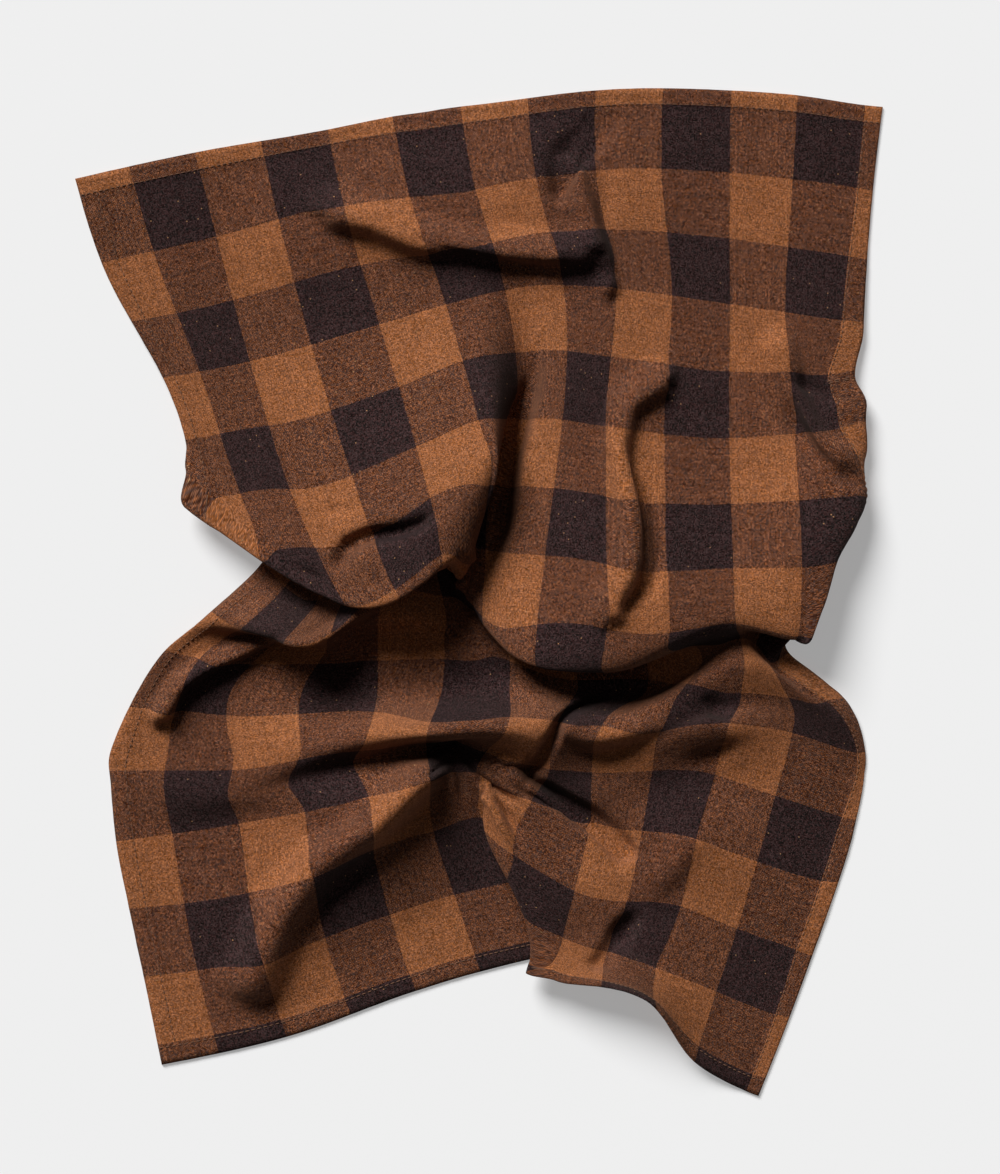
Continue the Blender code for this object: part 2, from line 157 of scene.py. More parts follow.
# One row a section across the towel, from the top hem to the bottom hem. The stations of a section
# stand on the same twelve lines: left hem, warps 2, 4 and 5, the lip of the pleat, its key, its
# shoulder, warps 8, 10 and 11, the right fold, and the right hem.
# A station is (warp line, weft line, x, y, z): 0 is the left or top hem, 13 the right hem and 18 the
# bottom hem, and a line between two stripes has a whole number.
SECTIONS = (
    ("top hem",
     ((0, 0, -247, 253, 0), (2, 0, -174, 269, 0), (4, 0, -93, 283, 0), (5, 0, -53, 291, 0),
      (5.5, 0, -32, 294, 0), (5.8, 0, -20, 296, 0), (6.4, 0, 5, 299, 0), (8, 0, 71, 307, 0),
      (10, 0, 154, 307, 0), (11, 0, 195, 304, 0), (12, 0, 236, 298, 0), (13, 0, 247, 297, 0))),
    ("above the ridge",
     ((0, 2, -231, 202, 0), (2, 2, -161, 218, 1), (4, 2, -83, 237, 9), (5, 2, -42, 241, 11),
      (5.5, 2, -22, 243, 11), (5.8, 2, -10, 244, 11), (6.4, 2, 13, 249, 11), (8, 2, 71, 258, 7),
      (10, 2, 153, 257, 3), (11, 2, 192, 253, 2), (12, 2, 231, 248, 1), (13, 2, 241, 246, 1))),
    ("below the ridge",
     ((0, 4, -193, 131, 4), (2, 4, -140, 141, 5), (4, 4, -61, 163, 11), (5, 4, -20, 175, 14),
      (5.6, 4, 2, 181, 13), (6.1, 4, 19, 185, 10), (6.6, 4, 38, 187, 12), (8, 4, 83, 185, 11),
      (10, 4, 153, 176, 6), (11, 4, 187, 171, 7), (12, 4, 221, 166, 6), (13, 4, 235, 165, 4))),
    ("chest",
     ((0, 5, -179, 93, 10), (2, 6, -115, 63, 20), (4, 6, -38, 88, 32), (5, 6, 0, 104, 40),
      (5.4, 6, 12, 105, 38), (6.1, 6, 23, 106, 7), (6.6, 6, 40, 106, 20), (8, 6, 77, 101, 25),
      (10, 6, 152, 94, 16), (11, 6, 192, 97, 13), (12, 6, 218, 100, 15), (13, 6, 235, 105, 11))),
    ("brow",
     ((0, 5.5, -178, 74, 15), (2, 7.55, -90, 9, 36), (4, 7.8, -24, 32, 51), (5, 7, 6, 65, 46),
      (5.2, 7.1, 7, 60, 38), (5.65, 7.3, -2, 56, 9), (6.4, 8.2, 17, 16, 20), (8, 8.9, 77, -18, 42),
      (10, 8.5, 154, -4, 36), (11, 8, 195, 15, 33), (11.85, 7.5, 227, 39, 20), (13, 7.3, 215, 44, 8))),
    ("lip",
     ((0, 5.95, -173, 52, 16), (2, 8.1, -81, -7, 37), (4, 8.4, -25, 11, 43), (4.6, 8.35, -11, 9, 24),
      (5.2, 8.5, -10, 19, 16), (5.6, 8.9, -7, -2, 14), (6.4, 9.45, 15, -33, 28),
      (8, 9.98, 76, -48, 34), (10, 9.1, 155, -20, 34), (11, 9.1, 192, -28, 30),
      (11.35, 9.1, 201, -18, 26), (13, 8.5, 198, 12, 8))),
    ("tuck",
     ((0, 7.4, -119, 71, 9), (2, 8.6, -94, 12, 11), (4, 9.3, -48, 29, 9), (4.9, 9.3, -27, 16, 7),
      (5.3, 9.6, -18, 6, 5), (5.7, 9.8, -3, -9, 5), (6.5, 10.15, 26, -11, 8), (8, 10.6, 98, -34, 8),
      (10, 9.55, 157, -24, 25), (11, 9.65, 179, -19, 13), (11.5, 9.6, 189, -27, 17),
      (13, 9.3, 187, -16, 6))),
    ("out of tuck",
     ((0, 9, -132, 18, 4), (2, 9.15, -101, -10, 16), (4, 10.3, -61, -12, 18), (5, 10.4, -20, -16, 5),
      (5.5, 10.5, -4, -20, 5), (5.8, 10.6, 8, -26, 5), (6.6, 10.95, 43, -49, 7),
      (8, 11.2, 101, -62, 5), (10, 10.05, 159, -29, 18), (11, 10.1, 169, -35, 12),
      (12, 10.15, 182, -46, 8), (13, 10, 189, -37, 5))),
    ("roll",
     ((0, 10, -162, -12, 13), (2, 9.9, -117, -28, 35), (4, 10.65, -62, -26, 5),
      (5, 10.65, -21, -29, 4), (5.5, 10.9, -2, -36, 4), (5.8, 11, 11, -39, 5),
      (6.6, 11.3, 42, -60, 14), (8, 11.6, 85, -71, 14), (10, 10.55, 161, -44, 23),
      (11, 10.6, 179, -48, 20), (12, 10.6, 195, -56, 13), (13, 10.5, 203, -49, 6))),
    ("below the roll",
     ((0, 10.5, -178, -24, 11), (2, 10.45, -122, -28, 4), (4, 11.05, -62, -43, 3),
      (5, 11.05, -21, -42, 3), (5.55, 11.1, 1, -45, 4), (5.85, 11.25, 13, -49, 5),
      (6.6, 11.5, 41, -64, 18), (8, 11.85, 78, -76, 21), (10, 10.8, 160, -53, 20),
      (11, 10.85, 185, -58, 17), (12, 10.85, 205, -63, 12), (13, 10.75, 213, -57, 5))),
    ("foot of the roll",
     ((0, 11, -191, -35, 10), (2, 11.2, -145, -50, 5), (4, 11.4, -62, -56, 2), (5, 11.4, -22, -56, 3),
      (5.6, 11.4, 3, -56, 6), (5.9, 11.5, 15, -60, 10), (6.6, 11.7, 39, -69, 25),
      (8, 12.1, 72, -85, 29), (10, 11.1, 159, -64, 15), (11, 11.1, 190, -67, 13),
      (12, 11.1, 214, -69, 11), (13, 11, 222, -65, 4))),
    ("second lip",
     ((0, 12.6, -224, -94, 2), (2, 12.9, -150, -105, 11), (4, 12.65, -68, -88, 28),
      (5, 12.25, -31, -85, 37), (5.6, 12.2, -5, -83, 39), (5.9, 12.3, 12, -83, 37),
      (6.6, 12.4, 35, -87, 34), (8, 12.65, 69, -100, 12), (10, 12.1, 151, -82, 22),
      (11, 12.15, 190, -90, 9), (12, 12.2, 231, -105, 3), (13, 12.2, 236, -105, 1))),
    ("second tuck",
     ((0, 13.2, -225, -117, 1), (2, 13.5, -153, -124, 11), (4, 13.4, -77, -104, 10),
      (5, 13.2, -32, -93, 9), (5.6, 13.1, -10, -95, 8), (5.9, 13.1, -1, -97, 11),
      (6.5, 13.1, 26, -106, 14), (8, 13.4, 68, -121, 12), (10, 13, 144, -111, 5),
      (11, 13.1, 180, -128, 6), (12, 13.2, 219, -145, 1), (13, 13.2, 229, -147, 0))),
    ("lap start",
     ((0, 14, -222, -152, 0), (2, 14, -147, -141, 4), (4, 14, -67, -124, 20), (5, 14, -31, -112, 19),
      (5.7, 14, -10, -109, 15), (6, 14, -1, -111, 15), (6.4, 14, 11, -118, 17), (8, 14, 68, -140, 8),
      (10, 14, 132, -150, 11), (11, 14, 170, -164, 6), (12, 14, 209, -176, 1), (13, 14, 220, -177, 0))),
    ("lap",
     ((0, 15, -214, -193, 0), (2, 15, -141, -183, 4), (4, 15, -65, -155, 14), (5, 15, -28, -145, 8),
      (6, 15, 1, -137, 4), (6.3, 15, 19, -143, 5), (6.4, 15, 4, -144, 14), (8, 15, 58, -181, 15),
      (10, 15, 123, -191, 8), (11, 15, 158, -205, 4), (12, 15, 194, -218, 1), (13, 15, 204, -222, 0))),
    ("lower lap",
     ((0, 16, -205, -235, 0), (2, 16, -133, -224, 3), (4, 16, -55, -197, 3), (5, 16, -15, -185, 1),
      (6, 16, 20, -177, 1), (6.65, 16, 45, -171, 5), (7.3, 16, 29, -191, 12), (8, 16, 51, -210, 13),
      (10, 16, 108, -228, 17), (11, 16, 145, -244, 5), (12, 16, 181, -258, 1), (13, 16, 190, -260, 0))),
    ("bottom hem",
     ((0, 18, -194, -289, 0), (2, 18, -118, -272, 0), (4, 18, -39, -244, 0), (5, 18, 1, -232, 0),
      (6, 18, 38, -223, 0), (6.9, 18, 74, -216, 3), (7.8, 18, 37, -228, 11), (8.2, 18, 47, -236, 20),
      (10, 18, 106, -251, 30), (11, 18, 131, -286, 10), (12, 18, 163, -305, 1),
      (13, 18, 171, -308, 0))),
)

# One row a fold: name, its run over the cloth in (warp line, weft line), height (a hollow is
# negative), reach to the left of the run and to the right of it, and how far its crest leans.
FOLDS = (
    ("top ridge", ((3.9, 2.15), (4.4, 2.35), (4.9, 2.75), (6.0, 3.2), (6.8, 3.45), (7.4, 3.4)),
     14.0, 26.0, 16.0, (1.0, -3.0)),
    ("collar", ((8.1, 1.3), (7.5, 1.7), (7.35, 2.3)), -8.0, 13.0, 13.0, (0.0, 0.0)),
    ("collar ridge", ((7.6, 1.9), (7.7, 2.7), (7.85, 3.9)), 9.0, 13.0, 16.0, (2.0, 0.0)),
    ("right ridge", ((8.9, 5.3), (8.4, 5.65), (8.25, 6.3), (8.4, 7.2), (8.35, 8.0), (8.1, 8.7)),
     11.0, 9.0, 20.0, (1.5, -1.0)),
    ("edge ridge", ((10.9, 4.6), (11.1, 5.4), (11.7, 6.4)), 9.0, 17.0, 18.0, (0.0, 0.0)),
    ("hem pull", ((12.9, 5.15), (13.0, 5.15)), -1.0, 45.0, 26.0, (-7.0, 0.0)),
    ("edge bulge", ((12.1, 6.5), (12.4, 7.0)), 0.0, 28.0, 28.0, (7.0, 0.0)),
    ("edge tuck", ((11.7, 8.1), (11.6, 8.7)), 0.0, 30.0, 30.0, (-6.0, 0.0)),
    ("chest hollow", ((2.3, 7.3), (2.6, 7.05), (3.1, 7.05), (3.8, 7.3)), -7.0, 9.0, 10.0, (0.0, 0.0)),
    ("broad ridge", ((4.9, 13.9), (4.0, 14.6), (3.1, 14.9), (2.4, 15.4), (1.8, 16.2)),
     18.0, 26.0, 25.0, (2.0, -2.0)),
    ("knot hollow", ((6.4, 13.3), (7.1, 13.5), (8.0, 13.9), (8.7, 14.3)), -12.0, 12.0, 12.0, (0.0, 0.0)),
    ("hem hollow", ((9.2, 15.4), (8.9, 16.4)), -8.0, 16.0, 16.0, (0.0, 0.0)),
    ("waist roll", ((0.8, 12.0), (1.0, 11.5), (1.25, 11.1), (1.6, 10.75), (2.1, 10.1), (3.2, 10.05),
      (3.8, 10.1)),
     13.0, 16.0, 10.0, (1.0, -3.0)),
    ("ridge gap", ((7.3, 11.3), (7.05, 12.0), (6.8, 12.7), (6.6, 13.2)), -11.0, 13.0, 9.0, (0.0, 0.0)),
)

# Creases and swellings too slight for the solid, one row each: name, its run as seen from above in
# (x, y), height, reach to the left of the run and to the right of it, and the warp lines and weft lines
# that it stays between.
CREASES = (
    ("flap valley", ((-86, 16), (-82, 27), (-74, 34), (-65, 37), (-53, 37), (-41, 39), (-31, 42)),
     -4, 5, 8, (1, 5.4), (4, 9)),
    ("flap dome", ((-72, 16), (-62, 21)),
     3, 13, 13, (1, 5.4), (4, 9)),
    ("flap dent", ((-99, 20), (-96, 7), (-89, -2)),
     -3, 5, 7, (1, 5.4), (4, 9)),
    ("flap pleat", ((-116, 16), (-106, 13), (-95, 9)),
     -2.5, 4, 5, (1, 5.4), (4, 9)),
    ("flap pinch", ((-96, 48), (-88, 51), (-78, 51)),
     -2.5, 4, 5, (1, 5.4), (4, 9)),
    ("tube rim", ((-8, 28), (-3, 18), (-7, 9), (-15, 0), (-24, -5)),
     5, 5, 5, (3, 5.7), (6, 9.3)),
    ("tube mouth", ((-10, 15), (-18, 10), (-24, 4), (-30, -5)),
     -12, 7, 8, (3, 5.7), (6, 9.3)),
    ("right crest", ((81, 102), (88, 72), (94, 41), (95, 20), (89, 6), (76, -4)),
     4, 5, 8, (6.5, 10), (4, 9.5)),
    ("right furrow", ((92, 75), (100, 56), (107, 38), (107, 20), (102, 6), (92, -5), (78, -12)),
     -6, 10, 5, (6.5, 10), (4, 9.5)),
    ("knot crease", ((16, -109), (29, -122), (50, -132), (68, -143), (81, -155), (94, -162)),
     -5, 5, 6, (5.8, 11), (11, 16)),
    ("knot dimple", ((81, -157), (99, -160)),
     -4, 8, 7, (5.8, 11), (11, 16)),
    ("knot roll", ((2, -102), (15, -106), (28, -118)),
     8, 9, 7, (4, 9), (11, 16)),
    ("knot star", ((5, -108), (12, -102), (22, -106)),
     -4, 3, 3.5, (4, 9), (11, 16)),
    ("knot line", ((-8, -102), (2, -113), (13, -121), (26, -129)),
     -8, 4, 4, (3, 9), (11, 16)),
    ("first pleat", ((2, -119), (11, -135), (20, -155)),
     6, 4, 4, (3, 9), (11, 16)),
    ("second pleat", ((8, -122), (18, -136), (28, -151)),
     -6, 4, 4, (3, 9), (11, 16)),
    ("left gather", ((-17, -102), (-12, -114), (-9, -130)),
     -5, 4.5, 4.5, (3, 9), (11, 16)),
    ("left pinch", ((-36, -114), (-25, -106), (-14, -99)),
     -3, 4, 4, (3, 9), (11, 16)),
    ("under the ridge", ((-48, -101), (-24, -94), (1, -89)),
     -4, 4, 6, (3, 9), (11, 16)),
    ("top furrow", ((-76, 230), (-54, 226), (-37, 215), (-21, 209), (6, 203), (28, 198), (48, 200),
      (62, 207)),
     -3, 3, 7, (3, 9), (0, 6)),
    ("collar furrow", ((83, 288), (72, 273), (59, 259), (50, 245), (48, 236)),
     -5, 6, 6, (6, 9), (0, 4)),
    ("collar edge", ((80, 271), (79, 240), (78, 215)),
     -2.5, 3, 10, (6, 9), (0, 6)),
    ("collar end", ((74, 202), (78, 193), (80, 185)),
     -4, 10, 10, (6, 9), (0, 6)),
    ("heart valley", ((37, 151), (31, 130), (23, 111), (16, 86), (13, 56), (9, 32), (2, 7), (-4, -9)),
     -8, 14, 5, (5.5, 8), (3, 9.6)),
    ("edge dimple", ((189, 132), (203, 125), (216, 119)),
     -4, 6, 8, (9.5, 13), (2, 8)),
    ("edge furrow", ((188, 121), (191, 102), (200, 86), (214, 73), (231, 65)),
     -6, 12, 6, (9.5, 13), (3, 8)),
    ("broad crest", ((-53, -133), (-78, -151), (-102, -170), (-118, -193), (-133, -218), (-149, -241)),
     1.5, 12, 12, (0, 6), (12, 18)),
    ("broad furrow", ((-57, -159), (-78, -176), (-99, -195)),
     -2, 12, 12, (0, 6), (12, 18)),
    ("hem dip", ((-163, -255), (-147, -266)),
     -3, 7, 7, (0, 6), (14, 18)),
    ("lower valley", ((74, -200), (99, -218), (124, -235)),
     -4, 14, 12, (6.5, 13), (13, 18)),
    ("lower crest", ((99, -190), (116, -169), (136, -144)),
     4, 16, 14, (6.5, 13), (12, 18)),
    ("shoulder dent", ((135, -62), (145, -71), (155, -80)),
     -4, 8, 8, (8, 13), (9.8, 14)),
    ("lower dent", ((129, -104), (145, -98), (161, -92)),
     -4, 9, 9, (8, 13), (11, 15)),
)


def across(line):
    """Distance over the flat cloth, mm, of a warp line from the left hem."""
    checks = (0.0, FIRST_ACROSS, FIRST_ACROSS + WHOLE_ACROSS, CHECKS_ACROSS)
    return np.interp(line, (0, 1, WHOLE_ACROSS + 1, WHOLE_ACROSS + 2), np.array(checks) * CHECK_ACROSS)


def down(line):
    """Distance over the flat cloth, mm, of a weft line from the top hem."""
    checks = (0.0, FIRST_DOWN, FIRST_DOWN + WHOLE_DOWN, CHECKS_DOWN)
    return np.interp(line, (0, 1, WHOLE_DOWN + 1, WHOLE_DOWN + 2), np.array(checks) * CHECK_DOWN)


def stations():
    """SECTIONS as an array [section, column, (flat across, flat down, x, y, z)]."""
    net = np.array([row for _, row in SECTIONS], dtype=float)
    net[..., 0] = across(net[..., 0])
    net[..., 1] = down(net[..., 1])
    return net


def tangents(points, knots):
    """Slopes at the knots, each from the parabola through three neighbours."""
    gaps = np.diff(knots)[:, None]
    chords = np.diff(points, axis=0) / gaps
    slopes = np.empty_like(points)
    slopes[1:-1] = (chords[:-1] * gaps[1:] + chords[1:] * gaps[:-1]) / (gaps[:-1] + gaps[1:])
    slopes[0] = 1.5 * chords[0] - 0.5 * slopes[1]
    slopes[-1] = 1.5 * chords[-1] - 0.5 * slopes[-2]
    return slopes, chords


def never_back(slopes, chords):
    """The slopes held in, so that the flat cloth is never counted backwards."""
    held = slopes.copy()
    for k, chord in enumerate(chords):
        for end in (k, k + 1):
            steepest = 3.0 * abs(chord)
            held[end] = np.where(held[end] * chord < 0.0, 0.0, np.clip(held[end], -steepest, steepest))
    return held


def through(points, knots, where):
    """A smooth curve through the points along the first axis, read at the given places."""
    flat = points.reshape(len(points), -1)
    slopes, chords = tangents(flat, knots)
    is_flat_cloth = np.tile(np.arange(points.shape[-1]) < 2, flat.shape[1] // points.shape[-1])
    slopes = np.where(is_flat_cloth, never_back(slopes, chords), slopes)
    k = np.clip(np.searchsorted(knots, where, side="right") - 1, 0, len(knots) - 2)
    gap = (knots[k + 1] - knots[k])[:, None]
    s = (where - knots[k])[:, None] / gap
    curve = ((2 * s**3 - 3 * s**2 + 1) * flat[k] + (s**3 - 2 * s**2 + s) * gap * slopes[k]
             + (3 * s**2 - 2 * s**3) * flat[k + 1] + (s**3 - s**2) * gap * slopes[k + 1])
    return curve.reshape((len(where),) + points.shape[1:])


def steps_between(knots, lengths):
    """Places along the knots, each gap divided into steps of its own length."""
    places = [knots[:1]]
    for start, end, length in zip(knots[:-1], knots[1:], lengths):
        count = round((end - start) / length)
        places.append(start + (end - start) * np.arange(1, count + 1) / count)
    return np.concatenate(places)


def beside(x, y, line):
    """How far (x, y) is from a run, on which side of it, and how far along it, 0 to 1."""
    line = np.array(line, dtype=float)
    pieces = np.hypot(*np.diff(line, axis=0).T)
    passed = np.concatenate(([0.0], np.cumsum(pieces)))
    nearest = np.full(x.shape, np.inf)
    side, along = np.zeros(x.shape), np.zeros(x.shape)
    for (ax, ay), (bx, by), start, length in zip(line[:-1], line[1:], passed, pieces):
        dx, dy = (bx - ax) / length, (by - ay) / length
        step = np.clip((x - ax) * dx + (y - ay) * dy, 0.0, length)
        off_x, off_y = x - ax - step * dx, y - ay - step * dy
        distance = np.hypot(off_x, off_y)
        closer = distance < nearest
        nearest = np.where(closer, distance, nearest)
        side = np.where(closer, dx * off_y - dy * off_x, side)
        along = np.where(closer, start + step, along)
    return nearest, side, along / passed[-1]


def fold_profile(u, v, run, left_reach, right_reach):
    """1 on the run of a fold, falling smoothly to 0 at its reach on either side."""
    distance, side, _ = beside(u, v, [(across(warp), down(weft)) for warp, weft in run])
    reach = np.where(side > 0.0, right_reach, left_reach)
    return np.cos(0.5 * np.pi * np.clip(distance / reach, 0.0, 1.0)) ** 2


def crease_profile(place, run, left_reach, right_reach):
    """As fold_profile for a run seen from above; it fades towards both of its ends."""
    distance, side, along = beside(place[..., 0], place[..., 1], run)
    reach = np.where(side > 0.0, left_reach, right_reach)
    fade = np.sin(np.pi * np.clip(along, END_LEAST, 1.0 - END_LEAST)) ** END_FADE
    return fade * np.cos(0.5 * np.pi * np.clip(distance / reach, 0.0, 1.0)) ** 2


def drape():
    """The woven sheet's underside: flat across, flat down and (x, y, z), in mm."""
    net = stations()
    columns = net[..., 0].mean(axis=0)
    rows = net[..., 1].mean(axis=1)
    sheet = through(net, rows, steps_between(rows, SECTION_STEPS)).transpose(1, 0, 2)
    sheet = through(sheet, columns, steps_between(columns, LINE_STEPS)).transpose(1, 0, 2)
    u, v, place = sheet[..., 0], sheet[..., 1], sheet[..., 2:].copy()
    for _, run, height, left_reach, right_reach, lean in FOLDS:
        lift = fold_profile(u, v, run, left_reach, right_reach)
        place[..., 0] += lean[0] * lift
        place[..., 1] += lean[1] * lift
        place[..., 2] += height * lift
    place[..., 2] = np.maximum(place[..., 2] - SETTLE, 0.0)
    return u, v, place


def middle_of(place):
    """The middle of the lying sheet, which stands over the origin."""
    middle = 0.5 * (place.min(axis=(0, 1)) + place.max(axis=(0, 1)))
    return np.array((middle[0], middle[1], 0.0))


def facing(place):
    """Unit normals of the sheet, upwards where it lies flat."""
    right = np.gradient(place, axis=1)
    towards = np.gradient(place, axis=0)
    normal = np.cross(towards, right)
    return normal / np.maximum(np.linalg.norm(normal, axis=2, keepdims=True), 1e-9)


def hem_rise(u, v):
    """0 on the open weave and 1 on the hem, in from all four edges."""
    edge = np.minimum(np.minimum(u, FLAT_WIDTH - u), np.minimum(v, FLAT_LENGTH - v))
    rise = np.clip((HEM_WIDTH + 0.5 * HEM_STEP - edge) / HEM_STEP, 0.0, 1.0)
    return rise * rise * (3.0 - 2.0 * rise)


def rumple(u, v, height, width, seed):
    """Gentle unevenness over the flat cloth, up to about its height either way."""
    bumps = [noise.noise((a / width, b / width, seed)) for a, b in zip(u.ravel(), v.ravel())]
    return height * np.array(bumps).reshape(u.shape)


def within(field, limits):
    """1 where the field lies between the limits, fading inwards from them."""
    low, high = limits
    return (np.clip((field - low) / CHECK_FADE, 0.0, 1.0)
            * np.clip((high - field) / CHECK_FADE, 0.0, 1.0))


def creased(u, v, place):
    """The drape with its slight creases and its unevenness, pushed along its own normals."""
    warp = u / CHECK_ACROSS + 1.0 - FIRST_ACROSS
    weft = v / CHECK_DOWN + 1.0 - FIRST_DOWN
    push = np.zeros(u.shape)
    for _, run, height, left_reach, right_reach, warps, wefts in CREASES:
        here = within(warp, warps) * within(weft, wefts)
        push += height * here * crease_profile(place, run, left_reach, right_reach)
    for height, width, seed in RUMPLES:
        push += rumple(u, v, height, width, seed)
    push += hem_rise(u, v) * rumple(u, v, *HEM_PUCKER)
    moved = place + facing(place) * push[..., None]
    moved[..., 2] = np.maximum(moved[..., 2], 0.0)
    return moved


def mesh_object(name, points, faces, material):
    mesh = bpy.data.meshes.new(name)
    mesh.from_pydata(points, [], faces)
    mesh.polygons.foreach_set("use_smooth", np.ones(len(mesh.polygons), dtype=bool))
    mesh.materials.append(material)
    mesh.update()
    piece = bpy.data.objects.new(name, mesh)
    bpy.context.scene.collection.objects.link(piece)
    return piece


def cloth_faces(rows, columns):
    """Quads of the upper side, the lower side and the four edges between them."""
    index = np.arange(rows * columns).reshape(rows, columns)
    upper = np.stack((index[:-1, :-1], index[1:, :-1], index[1:, 1:], index[:-1, 1:]), axis=-1).reshape(-1, 4)
    lower = upper[:, ::-1] + rows * columns
    rim = np.concatenate((index[0, ::-1], index[1:, 0], index[-1, 1:], index[-2::-1, -1]))
    after = np.roll(rim, -1)
    rim, after = rim[:-1], after[:-1]
    edges = np.stack((after, rim, rim + rows * columns, after + rows * columns), axis=-1)
    return np.concatenate((upper, lower, edges))


def make_cloth(u, v, place, material):
    """The woven sheet with its turned hems, one closed piece; its map is the flat cloth in metres."""
    rows, columns = u.shape
    thickness = WEAVE_THICKNESS + HEM_EXTRA * hem_rise(u, v)
    top = place + facing(place) * thickness[..., None]
    points = np.concatenate((top.reshape(-1, 3), place.reshape(-1, 3))) * MM
    faces = cloth_faces(rows, columns)
    cloth = mesh_object("towel_cloth", points.tolist(), faces.tolist(), material)
    flat = np.stack((u.ravel(), FLAT_LENGTH - v.ravel()), axis=-1) * MM
    flat = np.concatenate((flat, flat))
    corners = np.empty(len(cloth.data.loops), dtype=int)
    cloth.data.loops.foreach_get("vertex_index", corners)
    layer = cloth.data.uv_layers.new(name="flat_cloth")
    layer.data.foreach_set("uv", flat[corners].ravel())
    return cloth, top


def on_cloth(u, v, top, across_mm, down_mm):
    """The place on the upper side, and the way up there, of one point of the flat cloth."""
    i, j = np.unravel_index(np.argmin((u - across_mm) ** 2 + (v - down_mm) ** 2), u.shape)
    below, beyond = min(i + 1, u.shape[0] - 1), min(j + 1, u.shape[1] - 1)
    above, before = max(i - 1, 0), max(j - 1, 0)
    steps = np.array(((u[i, beyond] - u[i, before], u[below, j] - u[above, j]),
                      (v[i, beyond] - v[i, before], v[below, j] - v[above, j])))
    right, towards = np.linalg.solve(steps, (across_mm - u[i, j], down_mm - v[i, j]))
    along_row, along_column = top[i, beyond] - top[i, before], top[below, j] - top[above, j]
    up = np.cross(along_column, along_row)
    return top[i, j] + right * along_row + towards * along_column, up / np.linalg.norm(up)


def seam(start, end):
    """Stitches from start to end, each as its two ends (across, down) on the flat cloth."""
    start, end = np.array(start), np.array(end)
    length = np.linalg.norm(end - start)
    way = (end - start) / length
    for k in range(int(length / STITCH_PITCH)):
        first = start + way * (k + STITCH_START) * STITCH_PITCH
        yield first, first + way * STITCH_LENGTH


def hem_seams():
    """The four seams of the hem and its bar tack."""
    left, right = SEAM_INSET, FLAT_WIDTH - SEAM_INSET
    head, foot = SEAM_INSET, FLAT_LENGTH - SEAM_INSET
    tack_u, tack_v = across(BAR_TACK_AT[0]), down(BAR_TACK_AT[1])
    yield from seam((0.0, head), (FLAT_WIDTH, head))
    yield from seam((0.0, foot), (FLAT_WIDTH, foot))
    yield from seam((left, head), (left, foot))
    yield from seam((right, head), (right, foot))
    for row in (0.0, BAR_TACK_GAP):
        yield from seam((tack_u - BAR_TACK_LENGTH, tack_v + row), (tack_u, tack_v + row))


def make_stitches(u, v, top, material):
    """Every stitch as a little yarn, thick in its middle and dipping into the cloth at both ends."""
    turn = 2.0 * np.pi * np.arange(STITCH_SIDES) / STITCH_SIDES
    points, faces = [], []
    for first, last in hem_seams():
        start, up = on_cloth(u, v, top, *first)
        end, _ = on_cloth(u, v, top, *last)
        side = np.cross(end - start, up)
        side /= np.linalg.norm(side)
        base = len(points)
        for along, width, lift in STITCH_RINGS:
            middle = start + along * (end - start) + lift * up
            for angle in turn:
                rim = STITCH_RADIUS * width * (np.cos(angle) * side + np.sin(angle) * up)
                points.append((middle + rim) * MM)
        for ring in range(len(STITCH_RINGS) - 1):
            for k in range(STITCH_SIDES):
                here, there = base + ring * STITCH_SIDES, base + (ring + 1) * STITCH_SIDES
                after = (k + 1) % STITCH_SIDES
                faces.append((here + k, here + after, there + after, there + k))
        far = base + (len(STITCH_RINGS) - 1) * STITCH_SIDES
        faces.append(tuple(range(base + STITCH_SIDES - 1, base - 1, -1)))
        faces.append(tuple(range(far, far + STITCH_SIDES)))
    return mesh_object("hem_stitches", [tuple(point) for point in points], faces, material)


